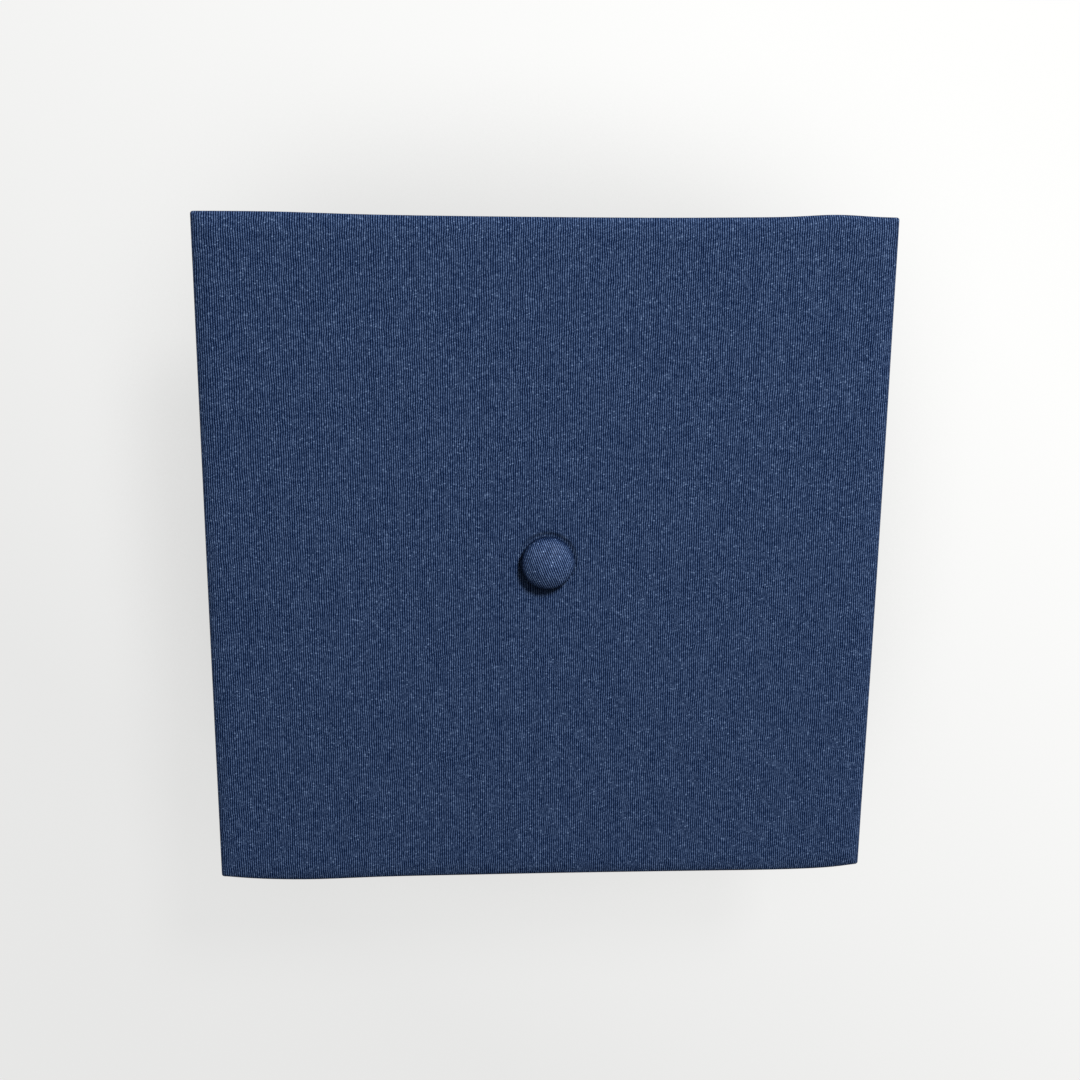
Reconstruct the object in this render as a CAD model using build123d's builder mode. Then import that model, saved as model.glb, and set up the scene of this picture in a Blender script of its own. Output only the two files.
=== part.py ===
"""Graduation cap: a cloth-covered square board on a skull cap, with a covered button on top.

Millimetres, +Z up. The cap stands on its rim: z = 0 is the plane of the rim, and the Z axis is
the axis of the button. The wearer faces -Y, and the board's corners lie on the X and Y axes.
"""

import os
from math import atan2, degrees

from build123d import *

os.makedirs("parts", exist_ok=True)

# ---------------------------------------------------------------- driving dimensions
board_side = 241.0  # covered board, edge to edge
board_top = 78.0  # height of the board's top cloth
cloth = 0.5  # outer cloth
board_core_thickness = 2.4
hem_width = 20.0  # top cloth turned under the board
under_cover_side = 229.0
board_corner_radius = 2.0
board_edge_radius = 1.2

rim_oval = (76.0, 92.0)  # half width and half length of the head opening
crown_oval = (70.0, 84.0)  # the same where the wall meets the board
side_rise = 8.0  # height of the rim over the ears
peak_half_width = 18.0  # flat point of the front peak
peak_run_half_width = 42.0  # where the peak starts to dip
nape_start = 56.0  # where the rim starts down to the nape, and the side seams
nape_flat = 82.0
rim_blend_radius = 60.0

lining = 0.4
buckram = 0.8
layer_gap = 0.05  # between the curved layers of the wall
seam_gap = 0.4  # between the fixed front and the stretching back

button_radius = 9.5
button_height = 7.6
button_metal = 0.4
shaft_hole_radius = 2.6  # through the board for the fastener's legs

# ---------------------------------------------------------------- derived heights
core_top = board_top - cloth
core_bottom = core_top - board_core_thickness
hem_bottom = core_bottom - cloth
board_bottom = hem_bottom - cloth
crown_stiffener_thickness = 1.0
crown_bottom = board_bottom - crown_stiffener_thickness
crown_lining_drop = 2.9  # the crown lining hangs below the fastener
back_wall_top = board_bottom - 0.5
wall_span = 120.0  # larger than the cap, for cutting shapes

# offsets of the wall's layers, measured outward from the inside of the lining
lining_layer = (0.0, lining)
buckram_layer = (lining + layer_gap, lining + layer_gap + buckram)
outer_layer = (buckram_layer[1] + layer_gap, buckram_layer[1] + layer_gap + cloth)
binding_cloth = 0.55
binding_inner = (-layer_gap - binding_cloth, -layer_gap)
binding_outer = (outer_layer[1] + layer_gap, outer_layer[1] + layer_gap + binding_cloth)
binding_height = 8.0
binding_fold = 0.6  # thickness of the binding under the wall's edge
sweatband_thickness = 0.8
sweatband_layer = (binding_inner[0] - 0.1 - sweatband_thickness, binding_inner[0] - 0.1)
sweatband_height = 28.0
channel_height = 28.0  # folded hem that carries the elastic


# ---------------------------------------------------------------- shared shapes
def oval(height, offset):
    """Half width and half length of the wall's oval at a height, moved outward by offset."""
    share = height / board_bottom
    half_width, half_length = (
        low + (high - low) * share + offset for low, high in zip(rim_oval, crown_oval)
    )
    return half_width, half_length


def tapered_oval(offset, bottom, top, mode=Mode.ADD):
    """Solid frustum bounded by the wall's oval surface moved outward by offset."""
    with BuildSketch(Plane.XY.offset(bottom)) as low:
        Ellipse(*oval(bottom, offset))
    with BuildSketch(Plane.XY.offset(top)) as high:
        Ellipse(*oval(top, offset))
    loft([low.sketch.face(), high.sketch.face()], mode=mode)


def wall_layer(layer, bottom, top):
    """Closed ring of the wall between two offsets."""
    tapered_oval(layer[1], bottom, top)
    tapered_oval(layer[0], bottom, top, mode=Mode.SUBTRACT)


def front_rim_cut(lift, above=False):
    """Cuts away what is below the front rim line, or above it, raised by lift."""
    far = wall_span if above else -wall_span
    rim_points = [
        (-wall_span, side_rise + lift),
        (-peak_run_half_width, side_rise + lift),
        (-peak_half_width, lift),
        (peak_half_width, lift),
        (peak_run_half_width, side_rise + lift),
        (wall_span, side_rise + lift),
    ]
    with BuildSketch(Plane.XZ) as waste:
        with BuildLine():
            FilletPolyline(*rim_points, radius=rim_blend_radius)
            Polyline(rim_points[-1], (wall_span, far), (-wall_span, far), rim_points[0])
        make_face()
    extrude(waste.sketch, amount=wall_span, both=True, mode=Mode.SUBTRACT)


def back_rim_cut(lift):
    """Cuts away what is below the back rim line raised by lift."""
    rim_points = [
        (0, side_rise + lift),
        (nape_start, side_rise + lift),
        (nape_flat, lift),
        (wall_span, lift),
    ]
    with BuildSketch(Plane.YZ) as waste:
        with BuildLine():
            FilletPolyline(*rim_points, radius=rim_blend_radius)
            Polyline(rim_points[-1], (wall_span, -wall_span), (0, -wall_span), rim_points[0])
        make_face()
    extrude(waste.sketch, amount=wall_span, both=True, mode=Mode.SUBTRACT)


def keep_front():
    """Keeps what lies ahead of the side seams."""
    split(bisect_by=Plane.XZ.offset(-nape_start), keep=Keep.TOP)


def keep_back():
    """Keeps what lies behind the side seams, clear of the fixed front."""
    split(bisect_by=Plane.XZ.offset(-nape_start - seam_gap), keep=Keep.BOTTOM)


def keep_side(side):
    """Keeps one side of the centre front seam: -1 for the wearer's right, 1 for the left."""
    seam = Plane.YZ.offset(side * layer_gap)
    split(bisect_by=seam, keep=Keep.TOP if side > 0 else Keep.BOTTOM)


def shaft_hole(bottom, top):
    """Hole on the button's axis for the fastener's legs."""
    with BuildSketch(Plane.XY.offset(bottom)) as opening:
        Circle(shaft_hole_radius)
    extrude(opening.sketch, amount=top - bottom, mode=Mode.SUBTRACT)


def board_square(side, radius, bottom, thickness, mode=Mode.ADD):
    """Square slab with its corners on the axes."""
    with BuildSketch(Plane.XY.offset(bottom)) as square:
        RectangleRounded(side, side, radius, rotation=45)
    extrude(square.sketch, amount=thickness, mode=mode)


# ---------------------------------------------------------------- board
core_edge_radius = 0.6

with BuildPart() as board_core:
    board_square(board_side - 2 * cloth, board_corner_radius - cloth, core_bottom, board_core_thickness)
    fillet(board_core.faces().sort_by(Axis.Z)[-1].edges(), core_edge_radius)
    fillet(board_core.faces().sort_by(Axis.Z)[0].edges(), core_edge_radius)
    shaft_hole(core_bottom, core_top)

with BuildPart() as board_top_cover:
    board_square(board_side, board_corner_radius, hem_bottom, board_top - hem_bottom)
    fillet(board_top_cover.faces().sort_by(Axis.Z)[-1].edges(), board_edge_radius)
    fillet(board_top_cover.faces().sort_by(Axis.Z)[0].edges(), board_edge_radius)
    add(board_core.part, mode=Mode.SUBTRACT)
    board_square(board_side - 2 * hem_width, 0.5, hem_bottom, cloth, mode=Mode.SUBTRACT)
    shaft_hole(hem_bottom, board_top)

with BuildPart() as board_under_cover:
    board_square(under_cover_side, board_corner_radius, board_bottom, cloth)
    board_square(board_side - 2 * hem_width - 1.0, 0.5, hem_bottom, cloth)
    shaft_hole(board_bottom, core_bottom)

# ---------------------------------------------------------------- button
button_lift = 0.2  # clear of the board's cloth, so that it can turn
button_base = board_top + button_lift
dome_rise = 5.0
shoulder_share = 0.72  # radius of the dome's shoulder, as a share of its rise
base_turn_radius = 1.0
turned_under_radius = 7.2  # inner edge of the button's gathered cloth
dome_spring = board_top + button_height - dome_rise


def half_dome(radius, rise, bottom):
    """Half section of a solid button: rounded base edge, straight side, shoulder arc, crown arc."""
    turn = max(base_turn_radius - (button_radius - radius), 0.2)
    shoulder_radius = shoulder_share * rise
    shoulder_place = radius - shoulder_radius
    rise_left = rise - shoulder_radius
    crown_centre_drop = (shoulder_place**2 - rise_left**2) / (2 * rise_left)
    crown_radius = rise + crown_centre_drop
    shoulder_sweep = degrees(atan2(crown_centre_drop, shoulder_place))
    with BuildSketch(Plane.XZ) as section:
        with BuildLine():
            Polyline((0, dome_spring + rise), (0, bottom), (radius - turn, bottom))
            CenterArc((radius - turn, bottom + turn), turn, -90, 90)
            Line((radius, bottom + turn), (radius, dome_spring))
            CenterArc((shoulder_place, dome_spring), shoulder_radius, 0, shoulder_sweep)
            CenterArc(
                (0, dome_spring - crown_centre_drop), crown_radius, shoulder_sweep, 90 - shoulder_sweep
            )
        make_face()
    return section.sketch


def dome_wall(outer, inner):
    """Turns the strip between two half sections round the button's axis."""
    with BuildSketch(Plane.XZ) as strip:
        add(outer)
        add(inner, mode=Mode.SUBTRACT)
    revolve(strip.sketch, axis=Axis.Z)


def disc(radius, bottom, thickness, mode=Mode.ADD):
    """Flat disc on the button's axis."""
    with BuildSketch(Plane.XY.offset(bottom)) as blank:
        Circle(radius)
    extrude(blank.sketch, amount=thickness, mode=mode)


shell_base = button_base + button_metal
shell_radius = button_radius - button_metal
back_plate_radius = 8.25

with BuildPart() as button_cover:
    dome_wall(
        half_dome(button_radius, dome_rise, button_base),
        half_dome(shell_radius, dome_rise - button_metal, shell_base),
    )
    disc(turned_under_radius, button_base, button_metal, mode=Mode.SUBTRACT)

with BuildPart() as button_shell:
    dome_wall(
        half_dome(shell_radius, dome_rise - button_metal, shell_base),
        half_dome(shell_radius - button_metal, dome_rise - 2 * button_metal, shell_base),
    )

with BuildPart() as button_back:
    disc(back_plate_radius, shell_base, button_metal)
    shaft_hole(shell_base, shell_base + button_metal)

leg_width = 2.4
leg_thickness = 0.5
leg_outside = 2.1  # distance of the legs' outer faces from the axis
leg_reach = 9.0  # bent legs, from the axis to the tip
washer_thickness = 0.8
washer_radius = 7.0
prong_head_radius = 4.8
head_bottom = shell_base + button_metal
legs_top_bend = crown_bottom - washer_thickness - 0.1
legs_bottom = legs_top_bend - leg_thickness

with BuildPart() as button_prongs:
    disc(prong_head_radius, head_bottom, leg_thickness)
    with BuildSketch(Plane.XY.offset(legs_bottom)) as leg_section:
        with Locations((leg_outside - leg_thickness / 2, 0), (leg_thickness / 2 - leg_outside, 0)):
            Rectangle(leg_thickness, leg_width)
    extrude(leg_section.sketch, amount=head_bottom - legs_bottom)
    with BuildSketch(Plane.XY.offset(legs_bottom)) as bent_section:
        with Locations(((leg_outside + leg_reach) / 2, 0), (-(leg_outside + leg_reach) / 2, 0)):
            Rectangle(leg_reach - leg_outside, leg_width)
    extrude(bent_section.sketch, amount=leg_thickness)
    leg_tips = button_prongs.edges().filter_by(Axis.Z).filter_by(lambda e: abs(e.center().X) > leg_reach - 0.1)
    fillet(leg_tips, leg_width / 3)

with BuildPart() as button_washer:
    disc(washer_radius, crown_bottom - washer_thickness, washer_thickness)
    shaft_hole(crown_bottom - washer_thickness, crown_bottom)

# ---------------------------------------------------------------- crown
crown_margin = 1.0  # between the crown's disc and the wall
crown_disc = (crown_oval[0] - crown_margin, crown_oval[1] - crown_margin)
crown_tray = (crown_disc[0] - 0.4, crown_disc[1] - 0.4)
crown_lining_bottom = crown_bottom - crown_lining_drop

with BuildPart() as crown_stiffener:
    with BuildSketch(Plane.XY.offset(crown_bottom)):
        Ellipse(*crown_disc)
        Circle(shaft_hole_radius, mode=Mode.SUBTRACT)
    extrude(amount=crown_stiffener_thickness)

with BuildPart() as crown_lining:
    with BuildSketch(Plane.XY.offset(crown_lining_bottom)):
        Ellipse(*crown_tray)
    extrude(amount=crown_lining_drop)
    with BuildSketch(Plane.XY.offset(crown_lining_bottom + cloth)):
        Ellipse(crown_tray[0] - cloth, crown_tray[1] - cloth)
    extrude(amount=crown_lining_drop - cloth, mode=Mode.SUBTRACT)

label_size = (38.0, 22.0, 0.3)
label_place = 42.0  # behind the middle of the crown

with BuildPart() as size_label:
    with BuildSketch(Plane.XY.offset(crown_lining_bottom - label_size[2])):
        with Locations((0, label_place)):
            RectangleRounded(label_size[0], label_size[1], 0.8)
    extrude(amount=label_size[2])

# ---------------------------------------------------------------- front wall
binding_seat = binding_fold + layer_gap  # lowest edge of the layers inside the binding

with BuildPart() as front_right_panel:
    wall_layer(outer_layer, 0, board_bottom)
    front_rim_cut(binding_seat)
    keep_front()
    keep_side(-1)

with BuildPart() as front_left_panel:
    wall_layer(outer_layer, 0, board_bottom)
    front_rim_cut(binding_seat)
    keep_front()
    keep_side(1)

with BuildPart() as front_stiffener:
    wall_layer(buckram_layer, 0, board_bottom)
    front_rim_cut(binding_seat)
    keep_front()

with BuildPart() as front_lining_right:
    wall_layer(lining_layer, 0, board_bottom)
    front_rim_cut(binding_seat)
    keep_front()
    keep_side(-1)

with BuildPart() as front_lining_left:
    wall_layer(lining_layer, 0, board_bottom)
    front_rim_cut(binding_seat)
    keep_front()
    keep_side(1)

with BuildPart() as binding_slot:
    wall_layer((binding_inner[1], binding_outer[0]), 0, board_bottom)
    front_rim_cut(binding_fold)

with BuildPart() as edge_binding:
    wall_layer((binding_inner[0], binding_outer[1]), 0, board_bottom)
    add(binding_slot.part, mode=Mode.SUBTRACT)
    front_rim_cut(0)
    front_rim_cut(binding_height, above=True)
    keep_front()

sweatband_lift = 1.2

with BuildPart() as sweatband:
    wall_layer(sweatband_layer, 0, board_bottom)
    front_rim_cut(sweatband_lift)
    front_rim_cut(sweatband_lift + sweatband_height, above=True)
    keep_front()

# ---------------------------------------------------------------- stretching back
channel_floor = 0.6  # folded cloth under the elastic
elastic_lift = channel_floor + 0.3
elastic_top = 26.0
back_lining_bottom = channel_height + 0.2
back_lining_top = back_wall_top - 0.6

with BuildPart() as elastic_channel:
    wall_layer((lining_layer[1], outer_layer[0]), 0, back_wall_top)
    back_rim_cut(channel_floor)

with BuildPart() as back_panel:
    wall_layer((lining_layer[0], outer_layer[1]), 0, back_wall_top)
    add(elastic_channel.part, mode=Mode.SUBTRACT)
    tapered_oval(outer_layer[0], channel_height, back_wall_top, mode=Mode.SUBTRACT)
    back_rim_cut(0)
    keep_back()

with BuildPart() as back_lining:
    wall_layer(lining_layer, back_lining_bottom, back_lining_top)
    keep_back()

with BuildPart() as elastic_band:
    wall_layer(buckram_layer, 0, elastic_top)
    back_rim_cut(elastic_lift)
    keep_back()

tack_layer = (-layer_gap - 0.35, -layer_gap)
tack_width = 2.0
tack_bottom = side_rise + 3.0
tack_top = 24.0
tack_place = nape_start + seam_gap + 1.5  # front edge of each bar tack

with BuildPart() as elastic_tacks:
    wall_layer(tack_layer, tack_bottom, tack_top)
    split(bisect_by=Plane.XZ.offset(-tack_place), keep=Keep.BOTTOM)
    split(bisect_by=Plane.XZ.offset(-tack_place - tack_width), keep=Keep.TOP)

# ---------------------------------------------------------------- finished pieces
pieces = {
    "board_core": board_core,
    "board_top_cover": board_top_cover,
    "board_under_cover": board_under_cover,
    "button_cover": button_cover,
    "button_shell": button_shell,
    "button_back": button_back,
    "button_prongs": button_prongs,
    "button_washer": button_washer,
    "crown_stiffener": crown_stiffener,
    "crown_lining": crown_lining,
    "size_label": size_label,
    "front_right_panel": front_right_panel,
    "front_left_panel": front_left_panel,
    "front_stiffener": front_stiffener,
    "front_lining_right": front_lining_right,
    "front_lining_left": front_lining_left,
    "edge_binding": edge_binding,
    "sweatband": sweatband,
    "back_panel": back_panel,
    "back_lining": back_lining,
    "elastic_band": elastic_band,
    "elastic_tacks": elastic_tacks,
}
for piece_name, piece in pieces.items():
    piece.part.label = piece_name
    export_step(piece.part, f"parts/{piece_name}.step")
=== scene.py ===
import math

import bpy
import numpy as np
from mathutils import Matrix, Vector


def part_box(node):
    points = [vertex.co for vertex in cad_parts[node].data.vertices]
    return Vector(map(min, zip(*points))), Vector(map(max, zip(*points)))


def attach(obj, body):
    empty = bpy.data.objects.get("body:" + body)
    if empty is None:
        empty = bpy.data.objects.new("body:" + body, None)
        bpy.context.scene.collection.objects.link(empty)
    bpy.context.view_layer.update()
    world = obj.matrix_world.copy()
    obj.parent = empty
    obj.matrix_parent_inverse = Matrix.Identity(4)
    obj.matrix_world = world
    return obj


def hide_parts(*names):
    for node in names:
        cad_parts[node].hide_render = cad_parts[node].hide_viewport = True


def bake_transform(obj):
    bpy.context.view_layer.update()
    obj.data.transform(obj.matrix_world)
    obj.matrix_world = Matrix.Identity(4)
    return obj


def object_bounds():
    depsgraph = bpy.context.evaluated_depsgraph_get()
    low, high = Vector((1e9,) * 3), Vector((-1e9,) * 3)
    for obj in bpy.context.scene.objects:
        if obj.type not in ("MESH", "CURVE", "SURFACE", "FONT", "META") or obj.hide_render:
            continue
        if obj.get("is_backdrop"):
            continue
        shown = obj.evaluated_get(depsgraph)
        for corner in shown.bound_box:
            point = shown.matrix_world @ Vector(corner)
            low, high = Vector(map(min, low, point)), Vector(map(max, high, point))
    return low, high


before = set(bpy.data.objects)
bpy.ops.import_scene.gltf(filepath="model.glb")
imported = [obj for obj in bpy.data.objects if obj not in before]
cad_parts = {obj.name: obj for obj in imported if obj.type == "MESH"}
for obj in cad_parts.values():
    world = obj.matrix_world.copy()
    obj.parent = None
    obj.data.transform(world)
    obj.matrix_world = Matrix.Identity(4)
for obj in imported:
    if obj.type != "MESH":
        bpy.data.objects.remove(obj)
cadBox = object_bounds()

mm = 0.001
boardRight = np.array([1.0, -1.0, 0.0]) / math.sqrt(2)  # the board's own axes: its corners are on X and Y
boardUp = np.array([1.0, 1.0, 0.0]) / math.sqrt(2)
upward = np.array([0.0, 0.0, 1.0])


# ---- small sums used by every piece

def unit(vectors):
    # each vector divided by its length
    return vectors / np.maximum(np.linalg.norm(vectors, axis=-1, keepdims=True), 1e-12)


def ease(t):
    # 0 below 0, 1 above 1, and 3t^2 - 2t^3 between
    t = np.clip(t, 0.0, 1.0)
    return t * t * (3 - 2 * t)


def box(cadNode):
    return [np.array(corner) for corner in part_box(cadNode)]


def onBoard(x, y, height):
    # points from the distances along the board's right and up axes, and a height
    return x[..., None] * boardRight + y[..., None] * boardUp + np.asarray(height)[..., None] * upward


def hump(x, place, width):
    # a bell curve of height 1 at place
    return np.exp(-((x - place) / width) ** 2)


def ripple(x, y, seed, shortest=0.02, longest=0.09):
    # sum of seven plane waves with seeded directions, lengths and phases, between about -1 and 1
    waves = 7
    draw = np.random.default_rng(seed)
    total = np.zeros(np.broadcast(x, y).shape)
    for _ in range(waves):
        heading, phase = draw.uniform(0, 2 * math.pi, 2)
        length = draw.uniform(shortest, longest)
        total += np.sin(2 * math.pi * (x * math.cos(heading) + y * math.sin(heading)) / length + phase)
    return total / math.sqrt(waves) / 1.5


def gridNormals(points, wrap=False):
    # direction across the columns crossed with the direction along the rows
    if wrap:
        across = np.roll(points, -1, 1) - np.roll(points, 1, 1)
    else:
        across = np.gradient(points, axis=1)
    return unit(np.cross(across, np.gradient(points, axis=0)))


def pathLengths(points):
    # running length along the first axis
    steps = np.linalg.norm(np.diff(points, axis=0), axis=-1)
    return np.concatenate([[0.0], np.cumsum(steps)])


# ---- meshes

def makePiece(name, vertices, faces, cornerUv, sharp=48):
    # a smooth mesh with a weave map, creased where its faces meet at more than sharp degrees
    mesh = bpy.data.meshes.new(name)
    mesh.from_pydata(vertices.reshape(-1, 3).tolist(), [], faces.tolist())
    layer = mesh.uv_layers.new(name="weave")
    layer.data.foreach_set("uv", cornerUv.astype(np.float32).ravel())
    mesh.polygons.foreach_set("use_smooth", np.ones(len(faces), dtype=bool))
    mesh.set_sharp_from_angle(angle=math.radians(sharp))
    mesh.update()
    piece = bpy.data.objects.new(name, mesh)
    bpy.context.scene.collection.objects.link(piece)
    return piece


def quadsOf(grid):
    # corner numbers of every cell of a grid of numbers
    return np.stack([grid[:-1, :-1], grid[:-1, 1:], grid[1:, 1:], grid[1:, :-1]], -1).reshape(-1, 4)


def edgesOf(grid, closedRound):
    # the border of a grid of numbers as directed pairs, in the order its cells run
    pairs = [np.stack([grid[0, :-1], grid[0, 1:]], -1), np.stack([grid[-1, 1:], grid[-1, :-1]], -1)]
    if not closedRound:
        pairs.append(np.stack([grid[1:, 0], grid[:-1, 0]], -1))
        pairs.append(np.stack([grid[:-1, -1], grid[1:, -1]], -1))
    return np.concatenate(pairs)


def clothPiece(name, face, thickness, patches, closedRound=False, normals=None):
    # a closed sheet: the face grid, the same grid moved back by thickness along its normals, and strips
    # round the free borders. A patch is (numbers of its points, weave coordinates of the same shape)
    if normals is None:
        normals = gridNormals(face, wrap=closedRound)
    back = face - normals * thickness
    count = face.shape[0] * face.shape[1]
    faces, corners = [], []
    for number, uv in patches:
        flatUv = uv.reshape(-1, 2)
        uvNumber = np.arange(len(flatUv)).reshape(number.shape)
        cells, uvCells = quadsOf(number), quadsOf(uvNumber)
        rim, uvRim = edgesOf(number, closedRound), edgesOf(uvNumber, closedRound)
        faces += [cells, cells[:, ::-1] + count]
        faces.append(np.stack([rim[:, 1], rim[:, 0], rim[:, 0] + count, rim[:, 1] + count], -1))
        corners += [flatUv[uvCells], flatUv[uvCells[:, ::-1]]]
        near, far = flatUv[uvRim[:, 0]], flatUv[uvRim[:, 1]]
        corners.append(np.stack([far, near, near + thickness, far + thickness], 1))
    vertices = np.concatenate([face.reshape(-1, 3), back.reshape(-1, 3)])
    return makePiece(name, vertices, np.concatenate(faces), np.concatenate(corners))


def wholePatch(face, uv):
    # one patch that covers the whole grid
    rows, columns = face.shape[:2]
    return [(np.arange(rows * columns).reshape(rows, columns), uv)]


def finish(piece, body, material, nodes=(), over=None):
    # gives the piece its material and hides the listed parts; without over it is attached to its body, with
    # over its transform is baked into its mesh instead
    piece.data.materials.append(material)
    if nodes:
        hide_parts(*nodes)
    if over:
        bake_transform(piece)
    else:
        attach(piece, body)
    return piece


# ---- materials

def node(tree, kind, inputs=None, **settings):
    # a shader node with its inputs set to values or linked to other nodes' outputs
    made = tree.nodes.new("ShaderNode" + kind)
    for key, value in settings.items():
        setattr(made, key, value)
    for key, value in (inputs or {}).items():
        if isinstance(value, bpy.types.NodeSocket):
            tree.links.new(value, made.inputs[key])
        else:
            made.inputs[key].default_value = value
    return made


def calc(tree, operation, first, second=0.5):
    return node(tree, "Math", {0: first, 1: second}, operation=operation).outputs[0]


def plus(tree, first, second):
    return calc(tree, "ADD", first, second)


def times(tree, first, second):
    return calc(tree, "MULTIPLY", first, second)


def between(tree, first, second, share):
    # share of the first and the rest of the second
    return plus(tree, times(tree, first, share), times(tree, second, 1 - share))


def mapped(tree, vector, **inputs):
    return node(tree, "Mapping", {"Vector": vector, **inputs}).outputs[0]


def noise(tree, vector, scale, detail):
    return node(tree, "TexNoise", {"Vector": vector, "Scale": scale, "Detail": detail}).outputs["Fac"]


def parts(tree, vector):
    return node(tree, "SeparateXYZ", {"Vector": vector}).outputs


def ramp(tree, factor, stops):
    made = node(tree, "ValToRGB", {"Fac": factor})
    band = made.color_ramp
    while len(band.elements) < len(stops):
        band.elements.new(0.5)
    for element, (place, colour) in zip(band.elements, stops):
        element.position = place
        element.color = (*colour, 1.0)
    return made.outputs["Color"]


def startMaterial(name, look):
    # a material with its even values on the shader's own sockets
    material = bpy.data.materials.new(name)
    material.use_nodes = True
    tree = material.node_tree
    shader = tree.nodes["Principled BSDF"]
    shader.inputs["Roughness"].default_value = look.get("roughness", 0.8)
    shader.inputs["Specular IOR Level"].default_value = look.get("gloss", 0.25)
    shader.inputs["Metallic"].default_value = look.get("metal", 0.0)
    shader.inputs["Sheen Weight"].default_value = look.get("sheen", 0.0)
    shader.inputs["Sheen Roughness"].default_value = 0.4
    return material, tree, shader


def bumpInto(tree, shader, height, distance, strength):
    made = node(tree, "Bump", {"Height": height, "Distance": distance, "Strength": strength})
    tree.links.new(made.outputs["Normal"], shader.inputs["Normal"])


def dress(tree, shader, look, lit, stops, height, strength):
    # the look's colour times a factor at each stop of lit, and bumps from a height
    stops = [(place, tuple(min(part * factor, 1.0) for part in look["colour"])) for place, factor in stops]
    tree.links.new(ramp(tree, lit, stops), shader.inputs["Base Color"])
    bumpInto(tree, shader, height, look["relief"], strength)


def ribbedCloth(name, look):
    # ribs run along v. Across u the rib's height is sin^2(pi u / rib), cut off at top and bottom; along v
    # each rib is a row of short yarn floats, |sin(pi v / float)|, shifted by a step from rib to rib, with
    # longer streaks of light and shade, faint slanting bands, and a few bright floats
    material, tree, shader = startMaterial(name, look)
    uv = node(tree, "UVMap", uv_map="weave").outputs[0]
    turned = mapped(tree, uv, Rotation=(0, 0, look.get("turn", 0.0)))
    scaled = mapped(tree, turned, Scale=(1 / look["rib"], 1 / look["float"], 1))
    drift = noise(tree, scaled, 0.11, 2.0)
    sideways, lengthwise = parts(tree, scaled)[:2]
    across = plus(tree, sideways, times(tree, drift, look.get("wander", 1.2)))
    ribNumber = calc(tree, "FLOOR", across)
    shifted = plus(tree, lengthwise, times(tree, ribNumber, look["step"]))
    wave = calc(tree, "SINE", times(tree, across, math.pi))
    rib = {"Value": times(tree, wave, wave), "From Min": 0.16, "From Max": 0.84}
    rib = node(tree, "MapRange", rib).outputs[0]
    yarn = calc(tree, "ABSOLUTE", calc(tree, "SINE", times(tree, shifted, math.pi)))
    numbers = node(tree, "CombineXYZ", {"X": ribNumber, "Y": calc(tree, "FLOOR", shifted)}).outputs[0]
    luck = node(tree, "TexWhiteNoise", {"Vector": numbers}, noise_dimensions="2D").outputs["Value"]
    alongStreak = times(tree, lengthwise, look["float"] / look["streakLength"])
    ownRow = node(tree, "CombineXYZ", {"X": times(tree, ribNumber, 7.31), "Y": alongStreak}).outputs[0]
    streak = noise(tree, ownRow, 1.0, 1.0)
    bandScale = (1 / look["band"], 0.12 / look["band"], 1)
    band = noise(tree, mapped(tree, turned, Rotation=(0, 0, math.radians(-38)), Scale=bandScale), 1.0, 2.0)
    relief = times(tree, rib, plus(tree, times(tree, yarn, 0.48), 0.54))
    lit = relief
    for part, size in ((streak, look["streak"]), (luck, look["luck"]), (band, look["bandDepth"])):
        lit = plus(tree, lit, times(tree, calc(tree, "SUBTRACT", part, 0.5), size))
    bright = calc(tree, "GREATER_THAN", luck, look["glintFrom"])
    lit = plus(tree, lit, times(tree, times(tree, bright, look["glint"]), yarn))
    if "paintedBaseShade" in look:  # painted shade: darker below the lower height, fading out by the higher
        low, high, amount = look["paintedBaseShade"]
        level = parts(tree, node(tree, "TexCoord").outputs["Object"])["Z"]
        level = {"Value": level, "From Min": low, "From Max": high, "To Min": -amount, "To Max": 0.0}
        lit = plus(tree, lit, node(tree, "MapRange", level).outputs[0])
    stops = list(zip((0.04, 0.35, 0.67, 0.95), look["colours"]))
    colour = ramp(tree, times(tree, lit, 0.7), stops)
    tree.links.new(colour, shader.inputs["Base Color"])
    bumpInto(tree, shader, relief, look["relief"], 0.6)
    return material


def plainWeave(name, look):
    # over and under yarns: sin(pi u / yarn) times sin(pi v / yarn), as a small checker of rounded yarns
    material, tree, shader = startMaterial(name, look)
    uv = node(tree, "UVMap", uv_map="weave").outputs[0]
    if look.get("onObject"):
        uv = node(tree, "TexCoord").outputs["Object"]
    over, under = parts(tree, mapped(tree, uv, Scale=(1 / look["yarn"],) * 3))[:2]
    over = calc(tree, "SINE", times(tree, over, math.pi))
    under = calc(tree, "SINE", times(tree, under, math.pi))
    checker = plus(tree, times(tree, times(tree, over, under), 0.5), 0.5)
    lit = between(tree, checker, noise(tree, uv, 90.0, 4.0), 0.6)
    dress(tree, shader, look, lit, ((0.15, 0.55), (0.5, 1.0), (0.9, 1.5)), checker, 0.7)
    return material


def twillTape(name, look):
    # diagonal ridges: |sin(pi (u + slope v) / ridge)|, softened by noise
    material, tree, shader = startMaterial(name, look)
    uv = node(tree, "UVMap", uv_map="weave").outputs[0]
    u, v = parts(tree, uv)[:2]
    slanted = plus(tree, u, times(tree, v, look["slope"]))
    ridge = calc(tree, "ABSOLUTE", calc(tree, "SINE", times(tree, slanted, math.pi / look["ridge"])))
    lit = between(tree, ridge, noise(tree, uv, 700.0, 3.0), 0.55)
    dress(tree, shader, look, lit, ((0.1, 0.45), (0.5, 1.0), (0.9, 1.6)), ridge, 0.7)
    return material


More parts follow.
